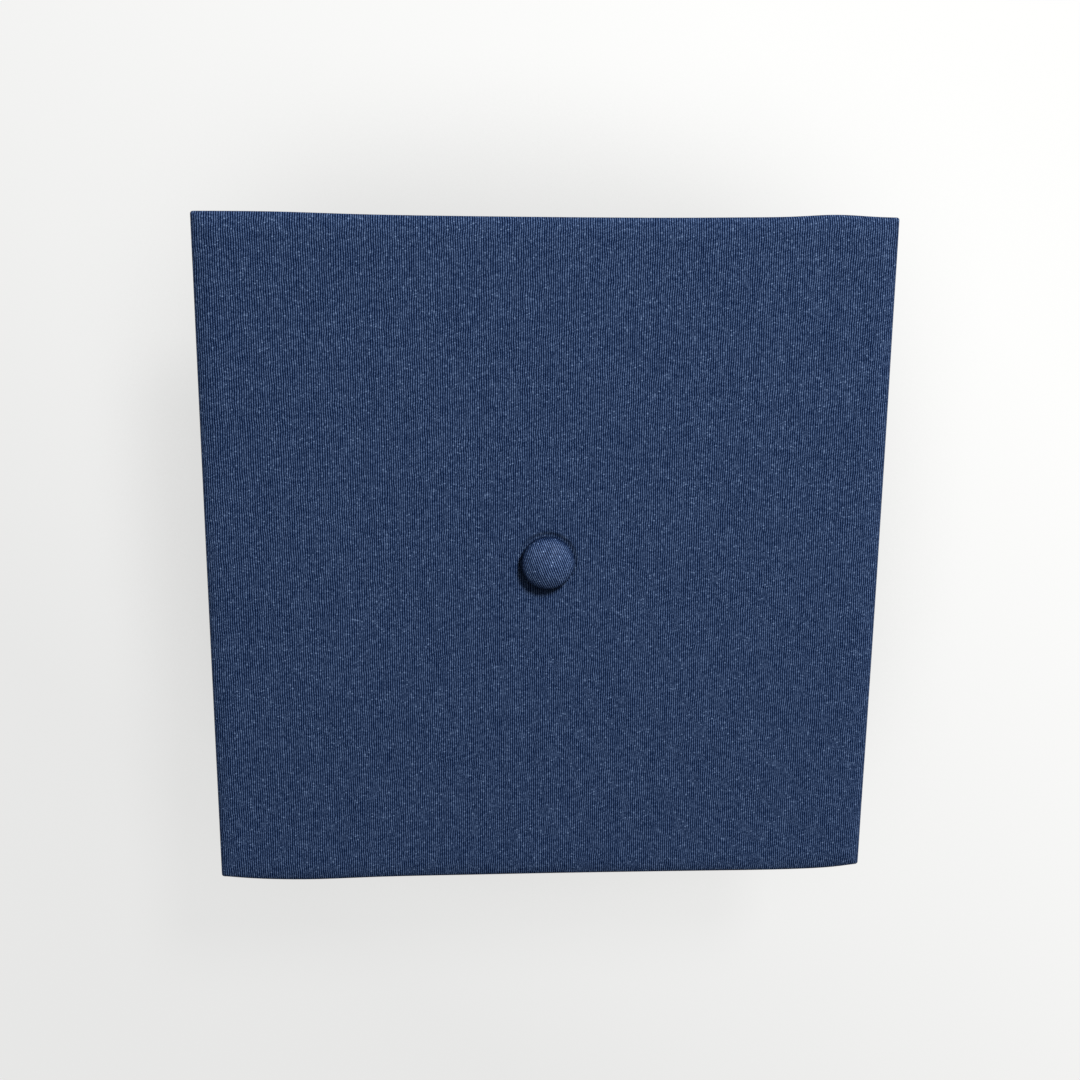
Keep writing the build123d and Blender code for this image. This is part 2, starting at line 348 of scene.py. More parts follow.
def speckled(name, look):
    # fibres and specks from two noises on object coordinates, one stretched
    material, tree, shader = startMaterial(name, look)
    place = node(tree, "TexCoord").outputs["Object"]
    fibre = noise(tree, mapped(tree, place, Scale=look["stretch"]), look["grain"], 6.0)
    lit = between(tree, fibre, noise(tree, place, 2600.0, 2.0), 0.7)
    dress(tree, shader, look, lit, ((0.3, 0.7), (0.5, 1.0), (0.7, 1.25)), lit, 0.5)
    return material


buttonTop = box("button_cover")[1][2]
navy = [(0.0006, 0.0042, 0.024), (0.019, 0.044, 0.114), (0.078, 0.124, 0.240), (0.175, 0.245, 0.385)]
weave = {
    "colours": navy, "rib": 0.79 * mm, "float": 0.55 * mm, "step": 0.37, "streak": 0.82,
    "streakLength": 1.35 * mm, "luck": 0.29, "glintFrom": 0.982, "glint": 0.42, "band": 3.4 * mm,
    "bandDepth": 0.13, "relief": 0.16 * mm, "roughness": 0.70, "gloss": 0.02,
}
boardCloth = ribbedCloth("navyRibbedCloth", weave)
wallCloth = ribbedCloth("navyWallCloth", {**weave, "streak": 0.7, "bandDepth": 0.2})
buttonCloth = ribbedCloth("navyButtonCloth", {
    # the same navy cloth as the board with brighter stops: painted light on the button's top
    **weave, "colours": [navy[0], (0.026, 0.056, 0.142), (0.104, 0.168, 0.335), (0.32, 0.44, 0.68)],
    "turn": math.radians(-22), "wander": 0.5, "streak": 0.25, "luck": 0.32, "bandDepth": 0.1,
    # painted shade darkens the button's cloth towards its base, where it curves in under the dome
    "roughness": 0.45, "gloss": 0.09, "paintedBaseShade": (buttonTop - 6.0 * mm, buttonTop - 2.2 * mm, 0.75),
})
bindingTape = twillTape("navyBindingTape", {
    "colour": (0.018, 0.034, 0.080), "ridge": 0.62 * mm, "slope": 0.8, "relief": 0.16 * mm,
    "roughness": 0.7, "sheen": 0.04,
})
liningCloth = plainWeave("navyLining", {
    "colour": (0.020, 0.028, 0.052), "yarn": 0.34 * mm, "relief": 0.06 * mm, "roughness": 0.5, "gloss": 0.35,
})
sweatTape = twillTape("sweatbandTape", {
    "colour": (0.019, 0.026, 0.044), "ridge": 0.8 * mm, "slope": -1.0, "relief": 0.16 * mm, "roughness": 0.85,
    "sheen": 0.12,
})
buckramLook = {"colour": (0.55, 0.51, 0.43), "yarn": 0.9 * mm, "relief": 0.2 * mm, "roughness": 0.75}
buckramCloth = plainWeave("buckram", buckramLook)
crownBuckramCloth = plainWeave("crownBuckram", {**buckramLook, "onObject": True})
elasticWeb = twillTape("elasticWebbing", {
    "colour": (0.62, 0.61, 0.58), "ridge": 1.1 * mm, "slope": 0.02, "relief": 0.25 * mm, "roughness": 0.7,
})
seamThread = twillTape("navyThread", {
    "colour": (0.052, 0.080, 0.155), "ridge": 0.22 * mm, "slope": 1.0, "relief": 0.05 * mm, "roughness": 0.45,
    "gloss": 0.45,
})
labelCloth = plainWeave("labelCloth", {
    "colour": (0.66, 0.65, 0.61), "yarn": 0.26 * mm, "relief": 0.05 * mm, "roughness": 0.45, "gloss": 0.4,
})
chipboard = speckled("greyChipboard", {
    "colour": (0.40, 0.36, 0.30), "grain": 420.0, "stretch": (1, 1, 5), "relief": 0.1 * mm, "roughness": 0.9,
})
zincPlate = speckled("zincPlate", {
    "colour": (0.60, 0.61, 0.63), "grain": 300.0, "stretch": (1, 6, 1), "relief": 0.01 * mm,
    "roughness": 0.32, "metal": 1.0, "gloss": 0.5,
})
for cadNode, cadMaterial in (
    ("crown_stiffener", crownBuckramCloth), ("button_shell", zincPlate), ("button_back", zincPlate),
    ("button_prongs", zincPlate), ("button_washer", zincPlate),
):
    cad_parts[cadNode].data.materials.clear()
    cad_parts[cadNode].data.materials.append(cadMaterial)
print("materials made")

# ---- the board and its two cloths
coverLow, coverHigh = box("board_top_cover")
underLow, underHigh = box("board_under_cover")
coreLow, coreHigh = box("board_core")
board = {
    "cadCorner": 2.0 * mm,  # rounding of the corners in the frame
    "corner": 0.9 * mm,  # and of the cloth pulled over them
    "cloth": 0.45 * mm,
    "squareness": 0.78,  # below 1 the rolled edge is squarer than a half circle
    "hem": 20 * mm,
    "hole": 2.7 * mm,
    "waviness": 0.10 * mm,
    "cornerBulk": 0.30 * mm,  # folded mitres lift the cloth a little
    "columns": 112,  # a side
    "dimple": 0.90 * mm,  # the button's fastener draws the board's face in
    "dimpleFrom": 9.3 * mm,
    "dimpleWidth": 1.9 * mm,
    "fall": 1.50 * mm,  # the face falls away softly towards the edge
    "fallWidth": 9.0 * mm,
    "fallPower": 3.0,
    "fineWithin": 14 * mm,  # closer rings round the button
    "roundWithin": 30 * mm,  # rings turn from round to square out to here
    "wanderWithin": (40 * mm, 38 * mm),  # where the outline's wander starts and how soon it is whole
    "calmRound": (12 * mm, 20 * mm),  # no waves nearer to the button than this, and all beyond the sum
}


def halfSide(high):
    # half the side of a square whose rounded corner reaches high along X
    return (high[0] - board["cadCorner"]) / math.sqrt(2) + board["cadCorner"]


def roundedSquare(half, radius, t):
    # how far along the ray (1, t) a square of that half side with rounded corners is crossed: half, or
    # where the ray meets the corner's circle
    inner, t = half - radius, np.abs(t)
    rise = inner * (1 + t)
    circle = rise**2 - (1 + t**2) * (2 * inner**2 - radius**2)
    onCircle = (rise + np.sqrt(np.maximum(circle, 0))) / (1 + t**2)
    return np.where(t * half > inner, onCircle, half)


def sideWander(side, t, look):
    # the covered edge isn't quite straight: a hollow or a fullness along the side and soft humps near the
    # corners, in metres outward
    total = look["bow"][side] * (1 - np.abs(t) ** look["bowPower"][side])
    for place, width, size in look["humps"][side]:
        total = total + size * hump(t, place, width)
    return total * (1 - np.abs(t) ** 24)


edgeWander = {  # sides in the order right, up, left, down of the board's own axes
    "bow": (0.32 * mm, -0.90 * mm, 0.14 * mm, 1.50 * mm),
    "bowPower": (2, 2, 2, 10),
    "humps": (
        (),
        ((-0.77, 0.19, 0.42 * mm), (0.62, 0.20, 0.24 * mm), (0.82, 0.11, 0.95 * mm)),
        (),
        ((-0.74, 0.18, 0.62 * mm), (0.80, 0.40, 0.42 * mm)),
    ),
}
straightEdges = {"bow": (0, 0, 0, 0), "bowPower": (2, 2, 2, 2), "humps": ((), (), (), ())}


def dimple(distance, look):
    # how far the face is drawn in: all of dimple up to dimpleFrom off the button's axis, eased to none over
    # dimpleWidth
    return look["dimple"] * (1 - ease((distance - look["dimpleFrom"]) / look["dimpleWidth"]))


def edgeFall(reach, look):
    # how far the face lies below its middle at a reach: fall (1 - distance from the edge / width)^power
    fromEdge = halfSide(coverHigh) - reach
    return look["fall"] * np.maximum(1 - fromEdge / look["fallWidth"], 0) ** look["fallPower"]


def squareRings(reach, look, half, wander, cut):
    # four quarters of rings round the board's axis: at each reach a square whose corners are rounder near the
    # centre hole, with its sides wandering near the edge. Also each quarter's place in the flat cloth, where
    # a ring lies at the distance cut
    blend = ease((reach - look["hole"]) / look["roundWithin"])
    radius = reach * (1 - blend) + np.minimum(look["corner"], reach) * blend
    step = np.linspace(-1, 1, look["columns"] + 1)
    t = np.sign(step) * (1 - (1 - np.abs(step)) ** 1.5)
    start, length = look["wanderWithin"]
    sides, weaves = [], []
    for side, sign in enumerate((1, -1, -1, 1)):  # the sign makes t grow with the board's right or up axis
        turned = side * math.pi / 2
        outward = np.array([math.cos(turned), math.sin(turned)])
        sideways = np.array([-math.sin(turned), math.cos(turned)])
        scale = roundedSquare(reach[:, None], radius[:, None], t[None, :])
        nearEdge = ease((reach[:, None] - half + start) / length)
        out = scale + sideWander(side, sign * t, wander)[None, :] * nearEdge
        lateral = (scale * t[None, :])[..., None] * sideways
        sides.append(out[..., None] * outward + lateral)
        weaves.append((scale + (cut - reach)[:, None])[..., None] * outward + lateral)
    return np.concatenate([quarter[:, :-1] for quarter in sides], 1), weaves


def ringPatches(points, weaves, count):
    # the four quarters of the rings, each with its own place in the weave
    number = np.arange(points.shape[0] * points.shape[1]).reshape(points.shape[:2])
    number = np.concatenate([number, number[:, :1]], 1)
    return [(number[:, side * count:(side + 1) * count + 1], weaves[side]) for side in range(4)]


def coverCloth(name, half, face, depth, look, wander, facing, seed):
    # from the hem's inner edge the cloth runs out under the board, turns round the edge, where the half
    # circle (sin, cos) is raised to a power to square it, and runs in to the centre hole
    roll = depth / 2
    straight = half - roll
    turn = np.linspace(0, math.pi, 19)[1:-1]
    power = look["squareness"]
    inward = straight - look["hem"] * np.linspace(1, 0, 12)
    fine = look["fineWithin"]
    toCentre = fine + (straight - fine) * (1 - np.linspace(0, 1, 36, endpoint=False) ** 1.5)
    toCentre = np.concatenate([toCentre, np.linspace(fine, look["hole"], 24)])
    reach = np.concatenate([inward, straight + roll * np.sin(turn) ** power, toCentre])
    bend = np.concatenate([np.zeros(12), turn, np.full(len(toCentre), math.pi)])
    level = -roll * (1 + np.sign(np.cos(bend)) * np.abs(np.cos(bend)) ** power)
    along = pathLengths(np.stack([reach, level], -1))
    flat, weaves = squareRings(reach, look, half, wander, along[-1] - along + look["hole"])
    x, y = flat[..., 0], flat[..., 1]
    onFace = ease((bend[:, None] - 0.5) / 2.2)
    nearCorner = ease((np.minimum(np.abs(x), np.abs(y)) / half - 0.80) / 0.17)
    awayFromButton = ease((np.hypot(x, y) - look["calmRound"][0]) / look["calmRound"][1])
    height = facing * level[:, None] + look["waviness"] * ripple(x, y, seed) * onFace * awayFromButton
    height = height + facing * look["cornerBulk"] * nearCorner * onFace
    height = height - dimple(np.hypot(x, y), look) - edgeFall(reach, look)[:, None] * onFace
    points = onBoard(x, y, face + height)
    if facing < 0:
        points = points[::-1]
        weaves = [quarter[::-1] for quarter in weaves]
    patches = ringPatches(points, weaves, look["columns"])
    return clothPiece(name, points, look["cloth"], patches, closedRound=True)


topCloth = coverCloth(
    "boardTopCloth", halfSide(coverHigh), coverHigh[2], coverHigh[2] - coverLow[2], board, edgeWander, 1, 11
)
finish(topCloth, "cap", boardCloth, ["board_top_cover"])
print("board top cloth", len(topCloth.data.polygons))


def makeCore(look):
    # a plate whose edges follow the covered board's own wandering outline
    half = halfSide(coreHigh)
    nearEdge = np.linspace(half, half - look["fallWidth"], 9, endpoint=False)
    inward = np.linspace(half - look["fallWidth"], look["roundWithin"], 14, endpoint=False)
    reach = np.concatenate([nearEdge, inward, np.linspace(look["roundWithin"], look["hole"], 50)])
    flat, weaves = squareRings(reach, look, half, edgeWander, reach)
    lower = dimple(np.linalg.norm(flat, axis=-1), look) + edgeFall(reach, look)[:, None]
    points = onBoard(flat[..., 0], flat[..., 1], coreHigh[2] - lower)
    thickness = coreHigh[2] - coreLow[2]
    # shorter where the face is lower, so that the back stays flat
    normals = (1 - lower / thickness)[..., None] * upward
    patches = ringPatches(points, weaves, look["columns"])
    return clothPiece("boardCore", points, thickness, patches, closedRound=True, normals=normals)


core = makeCore({**board, "columns": 40})
finish(core, "cap", chipboard, ["board_core"])

# ---- the cloth under the board, and the slip stitches that hold it to the hem
underHalf = halfSide(underHigh)
underLook = {
    **board, "cloth": 0.22 * mm, "squareness": 0.85, "hem": 9 * mm, "waviness": 0.07 * mm,
    "cornerBulk": 0.05 * mm, "columns": 76, "dimple": 0.0, "fall": 0.0,
}
underCloth = coverCloth(
    "boardUnderCloth", underHalf, underLow[2], coverLow[2] - underLow[2], underLook, straightEdges, -1, 5
)
finish(underCloth, "cap", wallCloth, ["board_under_cover"])


# ---- stitches
def stitchShape(length, width, height):
    # one stitch: six rings of six points along its length, with radius (1 - a^2)^0.3 and a small arch
    a = np.array([-1.0, -0.82, -0.35, 0.35, 0.82, 1.0])
    around = np.arange(6) * math.pi / 3
    swell = np.maximum(1 - a**2, 0.02) ** 0.3
    rings = np.stack([
        np.repeat(a[:, None] * length / 2, 6, 1),
        swell[:, None] * np.cos(around) * width / 2,
        swell[:, None] * np.sin(around) * width / 2 + height * (1 - a[:, None] ** 2),
    ], -1)
    number = np.arange(36).reshape(6, 6)
    number = np.concatenate([number, number[:, :1]], 1)
    caps = np.array([[0, 3, 2, 1], [0, 5, 4, 3], [30, 31, 32, 33], [30, 33, 34, 35]])
    faces = np.concatenate([quadsOf(number), caps[:, ::-1]])
    flat = np.stack([rings[..., 0], np.broadcast_to(around * width / 2, (6, 6))], -1).reshape(-1, 2)
    return rings.reshape(-1, 3), faces, flat[faces]


def stitchPlaces(points, normals, shape, look):
    # the stitch shape at even steps along a path, turned to the path's direction and normal and then
    # slanted in its own plane
    run = pathLengths(points)
    places = np.arange(look["pitch"] / 2, run[-1], look["pitch"])

    def at(values, s):
        return np.stack([np.interp(s, run, values[:, axis]) for axis in range(3)], -1)

    middle, normal = at(points, places), unit(at(normals, places))
    tangent = unit(at(points, places + 0.4 * mm) - at(points, places - 0.4 * mm))
    aside = unit(np.cross(normal, tangent))
    cosine, sine = math.cos(look.get("slant", 0.0)), math.sin(look.get("slant", 0.0))
    tangent, aside = tangent * cosine + aside * sine, aside * cosine - tangent * sine
    x, y, z = shape[None, :, :1], shape[None, :, 1:2], shape[None, :, 2:]
    return middle[:, None] + x * tangent[:, None] + y * aside[:, None] + z * normal[:, None]


def sewRows(name, rows, look, body="cap", nodes=(), over=None):
    # stitches along rows, each of which is a pair of a path's points and normals
    shape, faces, corners = stitchShape(look["length"], look["width"], look["arch"])
    vertices = np.concatenate([stitchPlaces(points, normals, shape, look) for points, normals in rows])
    shift = (np.arange(len(vertices)) * len(shape))[:, None, None]
    corners = np.tile(corners, (len(vertices), 1, 1))
    piece = makePiece(name, vertices, (faces[None] + shift).reshape(-1, 4), corners, sharp=80)
    return finish(piece, body, seamThread, nodes, over)


hemStitch = {"pitch": 6.5 * mm, "length": 1.9 * mm, "width": 0.34 * mm, "arch": 0.10 * mm, "slant": 0.55}
runStitch = {"pitch": 2.9 * mm, "length": 2.1 * mm, "width": 0.36 * mm, "arch": 0.10 * mm}


def squarePath(half, height, inset):
    # once round a square of that half side, with its corners cut by inset
    corners = np.array([
        [half, -half + inset], [half, half - inset], [half - inset, half], [-half + inset, half],
        [-half, half - inset], [-half, -half + inset], [-half + inset, -half], [half - inset, -half],
        [half, -half + inset],
    ])
    return onBoard(corners[:, 0], corners[:, 1], height)


hemPath = squarePath(underHalf + 0.15 * mm, coverLow[2] - 0.02 * mm, 2 * mm)
sewRows("hemStitches", [(hemPath, np.tile(-upward, (len(hemPath), 1)))], hemStitch)
print("board under cloth and stitches")

# ---- the covered button
buttonLow, buttonHigh = box("button_cover")
button = {
    "radius": buttonHigh[0], "spring": buttonHigh[2] - 5.2 * mm, "rise": 6.0 * mm, "shoulder": 0.62,
    "baseTurn": 1.5 * mm, "inner": 7.2 * mm, "cloth": 0.26 * mm, "pleats": 17, "pleatDepth": 0.30 * mm,
    "lobes": 0.10 * mm, "peakPlace": (0.2 * mm, 5.2 * mm), "peakSize": 0.42 * mm, "peakWidth": 0.9 * mm,
    "unevenness": 0.05 * mm, "cells": 124, "gathered": (5.2 * mm, 3.6 * mm),  # before the cloth's end
}


def discGrid(cells):
    # a square grid pressed into a disc: x = s sqrt(1 - t^2/2), y = t sqrt(1 - s^2/2); gives each point's
    # share of the radius and its direction, with no pole
    s, t = np.meshgrid(np.linspace(-1, 1, cells + 1), np.linspace(-1, 1, cells + 1))
    x, y = s * np.sqrt(1 - t**2 / 2), t * np.sqrt(1 - s**2 / 2)
    share = np.hypot(x, y)
    return np.minimum(share, 1.0), x / np.maximum(share, 1e-9), y / np.maximum(share, 1e-9)


def domeProfile(look, bottom):
    # from the top's centre: crown arc, shoulder arc, straight side, rounded base, then in under the button
    shoulder = look["shoulder"] * look["rise"]
    place, left = look["radius"] - shoulder, look["rise"] - shoulder
    drop = (place**2 - left**2) / (2 * left)
    spring, sweep = look["spring"], math.atan2(drop, place)
    crown = np.linspace(math.pi / 2, sweep, 40)
    side = np.linspace(sweep, 0, 24)
    base = np.linspace(0, -math.pi / 2, 16)
    turn = look["baseTurn"]
    radius = np.concatenate([
        (look["rise"] + drop) * np.cos(crown), place + shoulder * np.cos(side),
        look["radius"] - turn + turn * np.cos(base), np.linspace(look["radius"] - turn, look["inner"], 8),
    ])
    height = np.concatenate([
        spring - drop + (look["rise"] + drop) * np.sin(crown), spring + shoulder * np.sin(side),
        bottom + turn + turn * np.sin(base), np.full(8, bottom),
    ])
    return radius, height


def makeButtonCloth(look):
    # the profile laid over a disc by its running length, with pleats 0.5 + 0.5 cos(n angle) where it is
    # gathered underneath, slow lobes cos(3 angle) and cos(5 angle), and one small lump
    profileRadius, profileHeight = domeProfile(look, buttonLow[2])
    run = pathLengths(np.stack([profileRadius, profileHeight], -1))
    share, right, up = discGrid(look["cells"])
    radius = np.interp(share * run[-1], run, profileRadius)
    height = np.interp(share * run[-1], run, profileHeight)
    angle = np.arctan2(up, right)
    gathered = ease((share * run[-1] - (run[-1] - look["gathered"][0])) / look["gathered"][1])
    fold = 0.5 + 0.5 * np.cos(look["pleats"] * angle + 0.9 * np.sin(3 * angle))
    height = height + look["pleatDepth"] * fold * gathered * ease((share - 0.86) / 0.1)
    radius = radius - look["pleatDepth"] * 0.45 * fold * gathered
    lobes = (np.cos(3 * angle + 0.6) + 0.6 * np.cos(5 * angle)) / 1.6
    radius = radius + look["lobes"] * lobes * ease(share * 2)
    x, y = radius * right, radius * up
    peak = hump(np.hypot(x - look["peakPlace"][0], y - look["peakPlace"][1]), 0, look["peakWidth"])
    uneven = ripple(x, y, 3, shortest=0.004, longest=0.012) * (1 - gathered)
    height = height + look["peakSize"] * peak + look["unevenness"] * uneven
    points = onBoard(x, y, height)
    uv = np.stack([share * right, share * up], -1) * run[-1]
    return clothPiece("buttonCloth", points, look["cloth"], wholePatch(points, uv))


buttonCap = makeButtonCloth(button)
finish(buttonCap, "button", buttonCloth, ["button_cover"])
print("button")

# ---- the skull cap's wall
wall = {
    "rimHalf": (76 * mm, 92 * mm), "crownHalf": (70 * mm, 84 * mm), "bulge": 0.6 * mm,
    "rise": 8 * mm, "peak": (11 * mm, 49 * mm), "nape": (56 * mm, 82 * mm), "seam": 56 * mm,
    "buckramThick": 0.78 * mm,
    "buckram": 1.25 * mm, "outside": 1.8 * mm,  # how far outside the lining these layers' outer faces are
}
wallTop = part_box("front_left_panel")[1][2]


def wallHalves(height, offset):
    # half axes of the wall's oval at a height: from the rim's to the crown's, swelling a little between
    share = np.clip(height / wallTop, 0, 1)
    swell = offset + wall["bulge"] * np.sin(math.pi * share)
    return [rim + (crown - rim) * share + swell for rim, crown in zip(wall["rimHalf"], wall["crownHalf"])]


def wallPoints(angle, height, offset):
    # point of the oval at an angle counted from the front towards +X
    halfX, halfY = wallHalves(height, offset)
    return np.stack(np.broadcast_arrays(halfX * np.sin(angle), -halfY * np.cos(angle), height), -1)


def wallNormals(angle):
    # outward across the rim's oval
    flat = np.stack([np.sin(angle) / wall["rimHalf"][0], -np.cos(angle) / wall["rimHalf"][1]], -1)
    return unit(np.concatenate([flat, np.zeros((*flat.shape[:-1], 1))], -1))


def rimLine(angle):
    # height of the rim: raised over the ears, eased down to zero at the front peak and at the nape
    x, y = wall["rimHalf"][0] * np.sin(angle), -wall["rimHalf"][1] * np.cos(angle)
    front = np.where(y < 0, ease((np.abs(x) - wall["peak"][0]) / (wall["peak"][1] - wall["peak"][0])), 1.0)
    back = 1 - ease((y - wall["nape"][0]) / (wall["nape"][1] - wall["nape"][0]))
    return wall["rise"] * front * back


def seamAngle(height, seam):
    # where the oval crosses the plane of the side seams
    return np.arccos(-seam / wallHalves(height, 0.0)[1])


def wallGrid(columns, span, risesOf):
    # the columns run evenly between the two end angles that span(height) gives, and risesOf(rim) gives the
    # heights (rows, columns) above the floor for a rim line
    shares = np.linspace(0, 1, columns)
    height = np.full((1, 1), 0.5 * wallTop)
    for _ in range(3):
        first, last = span(height)
        height = risesOf(rimLine(first + (last - first) * shares[None, :]))
    first, last = span(height)
    return first + (last - first) * shares[None, :], height


def weaveOf(points):
    # u is the length along the middle row and v the length up the middle column, in metres
    u = pathLengths(points[points.shape[0] // 2])
    v = pathLengths(points[:, points.shape[1] // 2])
    return np.stack(np.broadcast_arrays(u[None, :], v[:, None]), -1)


def wallPiece(name, grid, thickness):
    return clothPiece(name, grid, thickness, wholePatch(grid, weaveOf(grid)))


def frontSpan(height):
    return -seamAngle(height, wall["seam"]), seamAngle(height, wall["seam"])


def leftSpan(height):
    return 0.0 * height, seamAngle(height, wall["seam"])


def rightSpan(height):
    return -seamAngle(height, wall["seam"]), 0.0 * height


def backSpan(height):
    tuck = seamAngle(height, wall["seam"] - 1.4 * mm)
    return tuck, 2 * math.pi - tuck


def fullHeight(rows, lift, top):
    # evenly spaced heights from the rim, raised by lift, up to top
    v = np.linspace(0, 1, rows)[:, None]
    return lambda rim: rim + lift + (top - rim - lift) * v


front = {
    "allowance": 0.40 * mm, "allowanceWidth": 6 * mm, "groove": 0.75 * mm, "grooveWidth": 0.9 * mm,
    "pucker": 0.09 * mm, "puckerLength": 7 * mm, "puckerWidth": 6 * mm, "unevenness": 0.20 * mm,
    "unevenFrom": 12 * mm, "tuck": 0.5 * mm, "tuckHeight": 1.3 * mm, "cloth": 0.45 * mm, "lift": 0.65 * mm,
    "seed": 21,
}


def frontOutside(angle, height):
    # how far outside the oval the front cloth stands: raised over the seam allowances, with a groove and
    # small puckers at the centre seam, a gentle unevenness away from it, and the tuck at the crown
    along = angle * wall["rimHalf"][0]
    away = np.abs(along)
    offset = wall["outside"] + front["allowance"] * (1 - ease((away - front["allowanceWidth"]) / (2 * mm)))
    offset = offset - front["groove"] * hump(away, 0, front["grooveWidth"])
    puckers = np.sin(2 * math.pi * height / front["puckerLength"]) * hump(away, 0, front["puckerWidth"])
    offset = offset + front["pucker"] * puckers
    waves = np.abs(ripple(along, height, front["seed"], shortest=0.025))
    offset = offset + front["unevenness"] * waves * ease(away / front["unevenFrom"])
    return offset - front["tuck"] * hump(height, wallTop, front["tuckHeight"])


for name, span, cadNode in (
    ("frontLeftPanel", leftSpan, "front_left_panel"), ("frontRightPanel", rightSpan, "front_right_panel"),
):
    angle, height = wallGrid(170, span, fullHeight(70, front["lift"], wallTop))
    panel = wallPiece(name, wallPoints(angle, height, frontOutside(angle, height)), front["cloth"])
    finish(panel, "cap", wallCloth, [cadNode])

angle, height = wallGrid(180, frontSpan, fullHeight(24, front["lift"], wallTop - 0.3 * mm))
buckram = wallPiece("frontBuckram", wallPoints(angle, height, wall["buckram"]), wall["buckramThick"])
finish(buckram, "cap", buckramCloth, ["front_stiffener"])


frontLining = {"seam": 0.2 * mm, "seamWidth": 0.9 * mm, "slack": 0.40 * mm, "cloth": 0.33 * mm}


def makeFrontLining(name, span, seed, look):
    # the same wall seen from inside, slack but for its raised centre seam: rows run downward so that it
    # faces the head
    angle, height = wallGrid(120, span, fullHeight(44, front["lift"], wallTop - 0.5 * mm))
    away = np.abs(angle) * wall["rimHalf"][0]
    waves = np.abs(ripple(away, height, seed, shortest=0.012, longest=0.05))
    slack = look["slack"] * waves * ease(away / (8 * mm))
    offset = look["seam"] * hump(away, 0, look["seamWidth"]) - slack
    return wallPiece(name, wallPoints(angle, height, offset)[::-1], look["cloth"])


for name, span, cadNode, seed in (
    ("frontLeftLining", leftSpan, "front_lining_left", 31),
    ("frontRightLining", rightSpan, "front_lining_right", 32),
):
    piece = makeFrontLining(name, span, seed, frontLining)
    finish(piece, "cap", liningCloth, [cadNode])


def channelPath(innerOffset, outerOffset, innerTop, leafRows, turnRows):
    # heights above the rim and offsets of a cloth that runs down inside, turns under in a half ellipse
    # whose lowest point is on the rim, and starts up outside
    turn = np.linspace(0, math.pi, turnRows)
    half = (outerOffset - innerOffset) / 2
    depth = min(half, 1.2 * mm)
    down = np.linspace(innerTop, depth, leafRows, endpoint=False)
    rise = np.concatenate([down, depth - depth * np.sin(turn)])
    offset = np.concatenate([np.full(leafRows, innerOffset), innerOffset + half * (1 - np.cos(turn))])
    return rise, offset, depth


binding = {
    "height": 8 * mm, "inner": -0.62 * mm, "outer": 2.42 * mm, "cloth": 0.5 * mm, "unevenness": 0.10 * mm,
    "stitchLine": 6.6 * mm, "edgePress": 0.16 * mm, "stitchPress": 0.12 * mm,
}


def makeBinding(look):
    # the channel's hook and a leaf up outside, pressed in at its edge and along its stitches
    rise, offset, depth = channelPath(look["inner"], look["outer"], look["height"], 9, 13)
    up = np.linspace(depth, look["height"], 10)[1:]
    rise = np.concatenate([rise, up])[:, None]
    offset = np.concatenate([offset, np.full(9, look["outer"])])[:, None]
    angle, height = wallGrid(320, frontSpan, lambda rim: rim + rise)
    sag = look["unevenness"] * ripple(angle * wall["rimHalf"][0], height, 41, shortest=0.01, longest=0.03)
    turnedEdge = look["edgePress"] * hump(rise, look["height"], 1.2 * mm)
    stitched = look["stitchPress"] * hump(rise, look["stitchLine"], 0.5 * mm)
    outward = (sag * ease(rise / (4 * mm)) - turnedEdge - stitched) * np.sign(offset)
    return wallPiece("edgeBinding", wallPoints(angle, height, offset + outward), look["cloth"])


edging = makeBinding(binding)
finish(edging, "cap", bindingTape, ["edge_binding"])

sweat = {"face": -1.5 * mm, "cloth": 0.72 * mm, "lift": 1.2 * mm, "height": 28 * mm, "wave": 0.22 * mm}


def makeSweatband(look):
    # the wall's oval moved inward, from above the rim up to height, waving a little and pressed at its seams
    rise = look["lift"] + look["height"] * np.linspace(1, 0, 26)[:, None]
    angle, height = wallGrid(260, frontSpan, lambda rim: rim + rise)
    along = angle * wall["rimHalf"][0]
    offset = look["face"] + look["wave"] * ripple(along, height, 51, shortest=0.02, longest=0.07)
    stitched = hump(rise, look["lift"] + 2.2 * mm, 0.6 * mm) + hump(rise, look["height"], 0.8 * mm)
    offset = offset + 0.2 * mm * stitched
    return wallPiece("sweatBand", wallPoints(angle, height, offset), look["cloth"])


headBand = makeSweatband(sweat)
finish(headBand, "cap", sweatTape, ["sweatband"])
print("front wall")

# ---- the back: cloth gathered on elastic, which stretches from the side seams to the nape
stretchOver = ((0.0, wall["seam"] + 2 * mm, 0.0), (0.0, 100 * mm, 0.0))
back = {
    "cloth": 0.42 * mm, "channel": 28 * mm, "stitchLine": 27 * mm, "fold": 8.3 * mm, "foldDepth": 2.7 * mm,
    "innerDepth": 1.3 * mm, "pinch": 0.55, "crown": 0.5 * mm, "seamTuck": 0.45 * mm, "columns": 430,
    "around": 82 * mm,  # length along the wall for one radian
    "lean": 22,
    "seamAt": 2.2,  # the side seam's angle, near enough for the folds to die away at it
}


def gathers(angle, height, look):
    # folds of the gathered cloth between 0 and 1: a sine of the distance along the wall, its pace and size
    # varied by slower sines, leaning a little with height; it dies away at the side seams
    along = angle * look["around"]
    pace = 2 * math.pi * along / look["fold"] + 1.5 * np.sin(2 * math.pi * along / (31 * mm))
    pace = pace + 0.8 * np.sin(2 * math.pi * along / (17 * mm) + 2)
    pace = pace + look["lean"] * height * np.sin(along / (11 * mm))
    size = 0.66 + 0.34 * np.sin(2 * math.pi * along / (23 * mm) + 1)
    fold = (0.5 + 0.5 * np.sin(pace)) ** 1.3 * size
    fromSeam = np.minimum(angle - look["seamAt"], 2 * math.pi - look["seamAt"] - angle) * look["around"]
    return fold * ease((fromSeam - 1 * mm) / (9 * mm))


